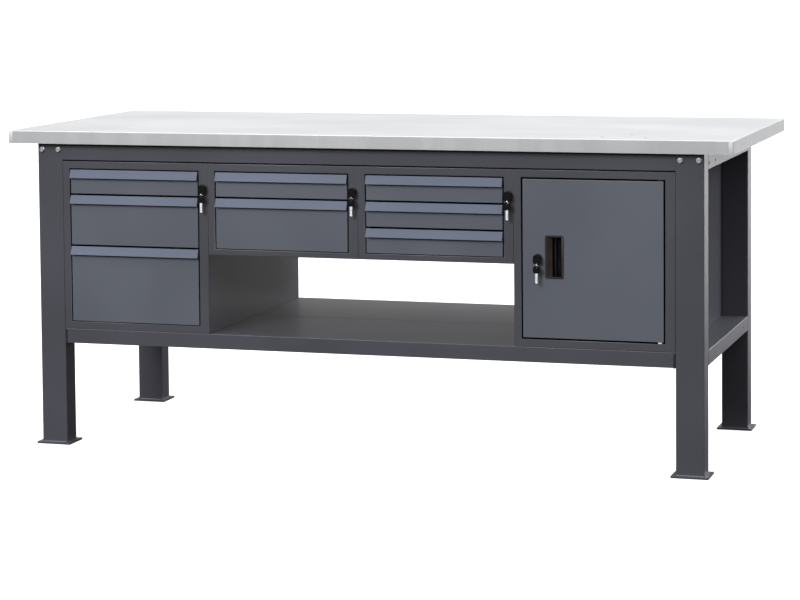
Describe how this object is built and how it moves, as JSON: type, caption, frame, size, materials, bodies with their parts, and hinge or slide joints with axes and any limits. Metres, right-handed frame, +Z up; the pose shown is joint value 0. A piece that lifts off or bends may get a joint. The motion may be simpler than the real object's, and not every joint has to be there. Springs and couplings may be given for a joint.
{
  "type": "workbench with drawers",
  "caption": "Steel workbench with a clad worktop, lockable drawer units, a lockable cupboard and an open middle bay over a full-width lower shelf.",
  "frame": {"origin": "on the floor, under the middle of the worktop", "axes": "+X along the bench to the right as seen by the user, +Y away from the user, +Z up"},
  "size_m": [2, 0.85, 0.865],
  "materials": {
    "clad_steel": "galvanised sheet, satin",
    "board": "raw board",
    "frame_paint": "anthracite powder coat, satin",
    "front_paint": "slate grey powder coat, satin",
    "handle_paint": "blue-grey powder coat, satin",
    "zinc": "zinc-plated",
    "black_plastic": "fine-textured black",
    "key_plastic": "moulded black",
    "lock_metal": "plated",
    "inner_paint": "anthracite powder coat, satin"
  },
  "bodies": {
    "bench": {"cupboard_carcass": "frame_paint", "cupboard_shelf": "inner_paint", "front_left_leg": "frame_paint", "front_right_leg": "frame_paint", "front_shelf_plank": "frame_paint", "front_top_beam": "frame_paint", "left_lower_side_rail": "frame_paint", "left_unit_carcass": "frame_paint", "left_unit_left_slides": "zinc", "left_unit_lock_housing": "lock_metal", "left_unit_right_slides": "zinc", "left_upper_side_rail": "frame_paint", "lower_hinge_pin": "zinc", "middle_left_unit_carcass": "frame_paint", "middle_left_unit_left_slides": "zinc", "middle_left_unit_lock_housing": "lock_metal", "middle_left_unit_right_slides": "zinc", "middle_right_unit_carcass": "frame_paint", "middle_right_unit_left_slides": "zinc", "middle_right_unit_lock_housing": "lock_metal", "middle_right_unit_right_slides": "zinc", "rear_left_leg": "frame_paint", "rear_right_leg": "frame_paint", "rear_shelf_plank": "frame_paint", "rear_top_beam": "frame_paint", "right_lower_side_rail": "frame_paint", "right_upper_side_rail": "frame_paint", "upper_hinge_pin": "zinc", "worktop_core": "board", "worktop_sheet": "clad_steel"},
    "left_unit_top_drawer": {"left_unit_top_drawer": "front_paint", "left_unit_top_handle": "handle_paint"},
    "left_unit_middle_drawer": {"left_unit_middle_drawer": "front_paint", "left_unit_middle_handle": "handle_paint"},
    "left_unit_bottom_drawer": {"left_unit_bottom_drawer": "front_paint", "left_unit_bottom_handle": "handle_paint"},
    "middle_left_unit_top_drawer": {"middle_left_unit_top_drawer": "front_paint", "middle_left_unit_top_handle": "handle_paint"},
    "middle_left_unit_bottom_drawer": {"middle_left_unit_bottom_drawer": "front_paint", "middle_left_unit_bottom_handle": "handle_paint"},
    "middle_right_unit_top_drawer": {"middle_right_unit_top_drawer": "front_paint", "middle_right_unit_top_handle": "handle_paint"},
    "middle_right_unit_middle_drawer": {"middle_right_unit_middle_drawer": "front_paint", "middle_right_unit_middle_handle": "handle_paint"},
    "middle_right_unit_bottom_drawer": {"middle_right_unit_bottom_drawer": "front_paint", "middle_right_unit_bottom_handle": "handle_paint"},
    "cupboard_door": {"cupboard_door": "front_paint", "cupboard_door_cup": "black_plastic", "cupboard_door_lock_housing": "lock_metal"},
    "cupboard_door_key": {"cupboard_door_lock_key": "lock_metal"},
    "cupboard_door_spare_key": {"cupboard_door_spare_key": "key_plastic"},
    "left_unit_key": {"left_unit_lock_key": "lock_metal"},
    "left_unit_lock_bar": {"left_unit_lock_bar": "zinc"},
    "left_unit_spare_key": {"left_unit_spare_key": "key_plastic"},
    "middle_left_unit_key": {"middle_left_unit_lock_key": "lock_metal"},
    "middle_left_unit_lock_bar": {"middle_left_unit_lock_bar": "zinc"},
    "middle_left_unit_spare_key": {"middle_left_unit_spare_key": "key_plastic"},
    "middle_right_unit_key": {"middle_right_unit_lock_key": "lock_metal"},
    "middle_right_unit_lock_bar": {"middle_right_unit_lock_bar": "zinc"},
    "middle_right_unit_spare_key": {"middle_right_unit_spare_key": "key_plastic"}
  },
  "joints": [
    {"name": "left_unit_top_slide", "type": "slide", "parent": "bench", "child": "left_unit_top_drawer", "axis": [0, -1, 0], "range_m": [0, 0.42]},
    {"name": "left_unit_middle_slide", "type": "slide", "parent": "bench", "child": "left_unit_middle_drawer", "axis": [0, -1, 0], "range_m": [0, 0.42]},
    {"name": "left_unit_bottom_slide", "type": "slide", "parent": "bench", "child": "left_unit_bottom_drawer", "axis": [0, -1, 0], "range_m": [0, 0.42]},
    {"name": "middle_left_unit_top_slide", "type": "slide", "parent": "bench", "child": "middle_left_unit_top_drawer", "axis": [0, -1, 0], "range_m": [0, 0.42]},
    {"name": "middle_left_unit_bottom_slide", "type": "slide", "parent": "bench", "child": "middle_left_unit_bottom_drawer", "axis": [0, -1, 0], "range_m": [0, 0.42]},
    {"name": "middle_right_unit_top_slide", "type": "slide", "parent": "bench", "child": "middle_right_unit_top_drawer", "axis": [0, -1, 0], "range_m": [0, 0.42]},
    {"name": "middle_right_unit_middle_slide", "type": "slide", "parent": "bench", "child": "middle_right_unit_middle_drawer", "axis": [0, -1, 0], "range_m": [0, 0.42]},
    {"name": "middle_right_unit_bottom_slide", "type": "slide", "parent": "bench", "child": "middle_right_unit_bottom_drawer", "axis": [0, -1, 0], "range_m": [0, 0.42]},
    {"name": "cupboard_door_hinge", "type": "hinge", "parent": "bench", "child": "cupboard_door", "pos_m": [0.80785, -0.4, 0.3453], "axis": [0, 0, 1], "range_deg": [0, 110]},
    {"name": "left_unit_key_turn", "type": "hinge", "parent": "bench", "child": "left_unit_key", "pos_m": [-0.43715, -0.405, 0.7167], "axis": [0, -1, 0], "range_deg": [0, 90]},
    {"name": "left_unit_spare_key_swing", "type": "hinge", "parent": "left_unit_key", "child": "left_unit_spare_key", "pos_m": [-0.43715, -0.4208, 0.6977], "axis": [0, -1, 0], "range_deg": [-90, 0]},
    {"name": "left_unit_lock_bar_slide", "type": "slide", "parent": "bench", "child": "left_unit_lock_bar", "axis": [0, 0, 1], "range_m": [0, 0.00566]},
    {"name": "middle_left_unit_key_turn", "type": "hinge", "parent": "bench", "child": "middle_left_unit_key", "pos_m": [-0.01315, -0.405, 0.7167], "axis": [0, -1, 0], "range_deg": [0, 90]},
    {"name": "middle_left_unit_spare_key_swing", "type": "hinge", "parent": "middle_left_unit_key", "child": "middle_left_unit_spare_key", "pos_m": [-0.01315, -0.4208, 0.6977], "axis": [0, -1, 0], "range_deg": [-90, 0]},
    {"name": "middle_left_unit_lock_bar_slide", "type": "slide", "parent": "bench", "child": "middle_left_unit_lock_bar", "axis": [0, 0, 1], "range_m": [0, 0.00566]},
    {"name": "middle_right_unit_key_turn", "type": "hinge", "parent": "bench", "child": "middle_right_unit_key", "pos_m": [0.41085, -0.405, 0.7167], "axis": [0, -1, 0], "range_deg": [0, 90]},
    {"name": "middle_right_unit_spare_key_swing", "type": "hinge", "parent": "middle_right_unit_key", "child": "middle_right_unit_spare_key", "pos_m": [0.41085, -0.4208, 0.6977], "axis": [0, -1, 0], "range_deg": [-90, 0]},
    {"name": "middle_right_unit_lock_bar_slide", "type": "slide", "parent": "bench", "child": "middle_right_unit_lock_bar", "axis": [0, 0, 1], "range_m": [0, 0.00566]},
    {"name": "cupboard_door_key_turn", "type": "hinge", "parent": "cupboard_door", "child": "cupboard_door_key", "pos_m": [0.48865, -0.405, 0.5548], "axis": [0, 1, 0], "range_deg": [0, 90]},
    {"name": "cupboard_door_spare_key_swing", "type": "hinge", "parent": "cupboard_door_key", "child": "cupboard_door_spare_key", "pos_m": [0.48865, -0.4208, 0.5358], "axis": [0, 1, 0], "range_deg": [-90, 0]}
  ],
  "couplings": [
    {"joint": "left_unit_spare_key_swing", "follows": "left_unit_key_turn", "ratio": -1},
    {"joint": "left_unit_lock_bar_slide", "follows": "left_unit_key_turn", "m_per_rad": 0.0036013},
    {"joint": "middle_left_unit_spare_key_swing", "follows": "middle_left_unit_key_turn", "ratio": -1},
    {"joint": "middle_left_unit_lock_bar_slide", "follows": "middle_left_unit_key_turn", "m_per_rad": 0.0036013},
    {"joint": "middle_right_unit_spare_key_swing", "follows": "middle_right_unit_key_turn", "ratio": -1},
    {"joint": "middle_right_unit_lock_bar_slide", "follows": "middle_right_unit_key_turn", "m_per_rad": 0.0036013},
    {"joint": "cupboard_door_spare_key_swing", "follows": "cupboard_door_key_turn", "ratio": -1}
  ]
}
